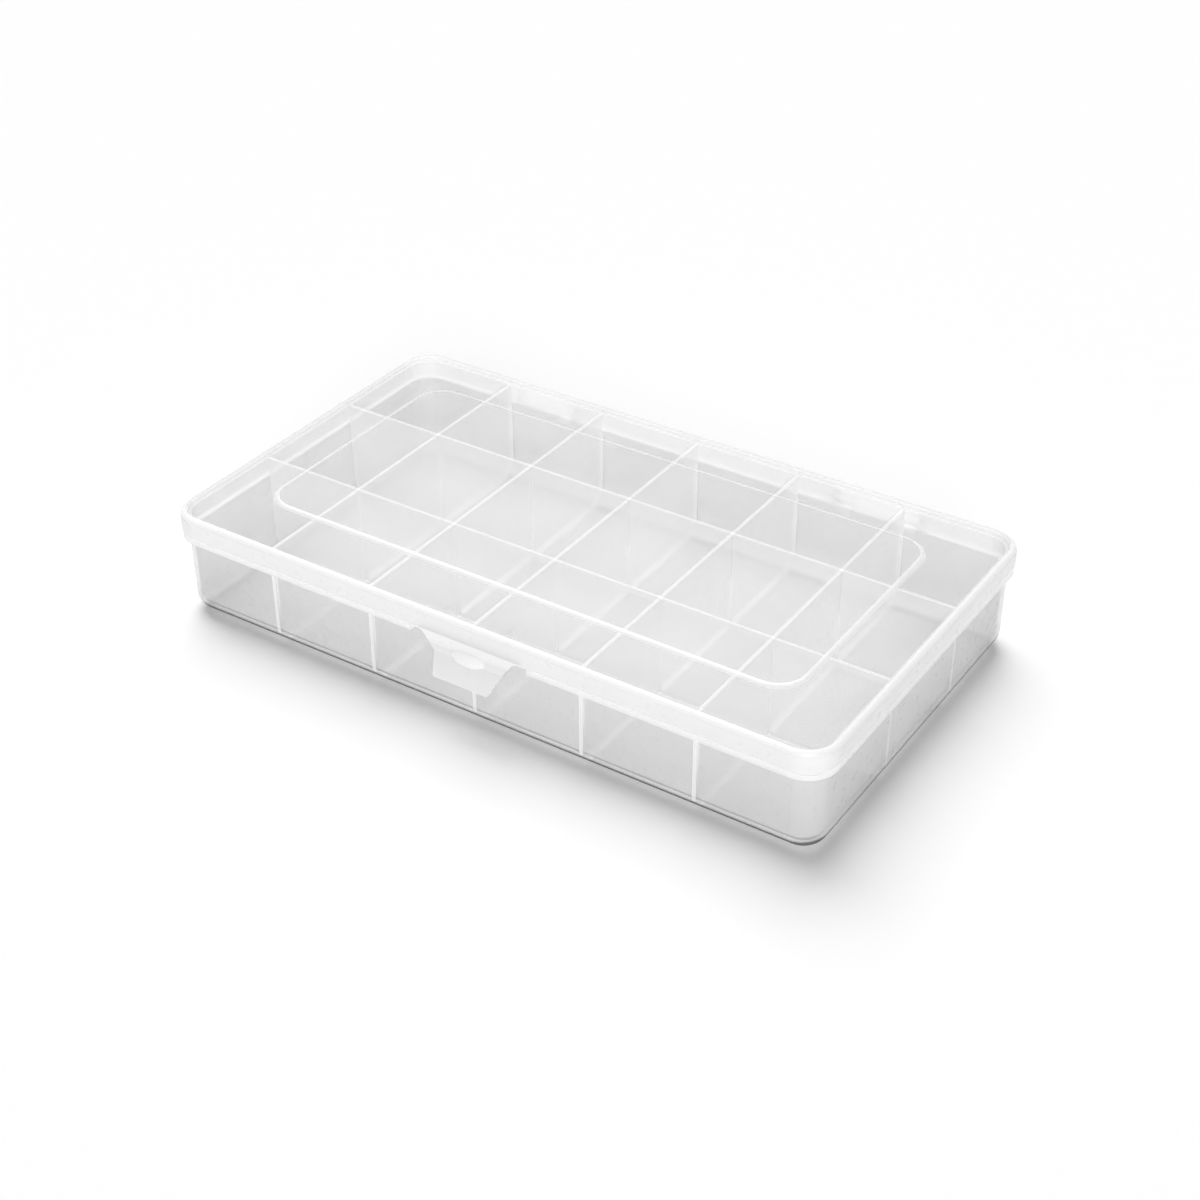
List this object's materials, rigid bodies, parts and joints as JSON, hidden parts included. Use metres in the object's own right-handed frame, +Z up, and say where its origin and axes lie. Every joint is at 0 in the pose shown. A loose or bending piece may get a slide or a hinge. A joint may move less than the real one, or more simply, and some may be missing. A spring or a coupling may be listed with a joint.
{
  "type": "compartment storage box",
  "caption": "Flat translucent plastic box with a grid of small compartments under one hinged lid with a raised middle and a flexing latch at the front.",
  "frame": {"origin": "middle of the flat underside of the tray, on the surface that the box stands on", "axes": "+X along the long side, -Y towards the latch, +Y towards the hinge, +Z up"},
  "size_m": [0.2308, 0.1393, 0.0378],
  "materials": {
    "tray": "clear, slightly milky polypropylene, smooth",
    "divider": "the tray's milky polypropylene, thin upright walls",
    "lid": "clear, slightly milky polypropylene, satin from handling",
    "pin": "the lid's polypropylene, smooth and round"
  },
  "bodies": {
    "tray": {"tray": "tray", "row_divider_1": "divider", "row_divider_2": "divider", "cross_divider_1": "divider", "cross_divider_2": "divider", "cross_divider_3": "divider", "cross_divider_4": "divider", "cross_divider_5": "divider"},
    "lid": {"lid": "lid", "hinge_pin_left": "pin", "hinge_pin_right": "pin"},
    "latch": {"latch": "lid"}
  },
  "joints": [
    {"name": "lid_hinge", "type": "hinge", "parent": "tray", "child": "lid", "pos_m": [0, 0.0668, 0.0286], "axis": [-1, 0, 0], "range_deg": [0, 180]},
    {"name": "latch_flex", "type": "hinge", "parent": "lid", "child": "latch", "pos_m": [0, -0.0659, 0.0298], "axis": [-1, 0, 0], "range_deg": [0, 20], "stiffness_Nm_per_rad": 0.02}
  ]
}
